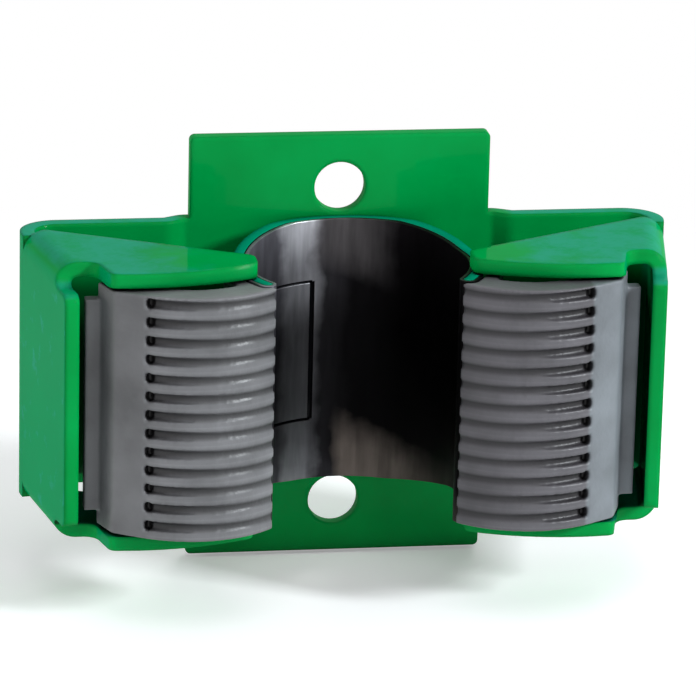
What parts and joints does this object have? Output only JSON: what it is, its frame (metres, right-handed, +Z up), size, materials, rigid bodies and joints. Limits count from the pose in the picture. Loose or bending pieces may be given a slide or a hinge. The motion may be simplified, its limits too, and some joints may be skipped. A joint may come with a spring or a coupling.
{
  "type": "tool hanger",
  "caption": "Wall-mounted spring-clip tool hanger: a folded painted-steel bracket with screw holes, a lined spring clamp and ribbed rubber pads that guide a tool handle into its mouth.",
  "frame": {"origin": "Centre of the back face of the bracket's plate, midway between the screw holes and on the part's plane of symmetry", "axes": "+Z is up along the wall and along the handle that is held, +Y points out of the plate's back face into the wall, and +X is to the right for a viewer who faces the wall. The mouth opens towards -Y."},
  "size_m": [0.0814, 0.0309, 0.0552],
  "materials": {
    "bracket_paint": "gloss green paint on folded sheet steel",
    "clamp_paint": "gloss green paint on spring steel",
    "liner_steel": "bare thin steel, a little brushed and stained",
    "pad_rubber": "satin grey rubber"
  },
  "bodies": {
    "root": {"bracket": "bracket_paint", "clamp": "clamp_paint", "liner": "liner_steel", "left_pad": "pad_rubber", "right_pad": "pad_rubber"}
  },
  "joints": []
}
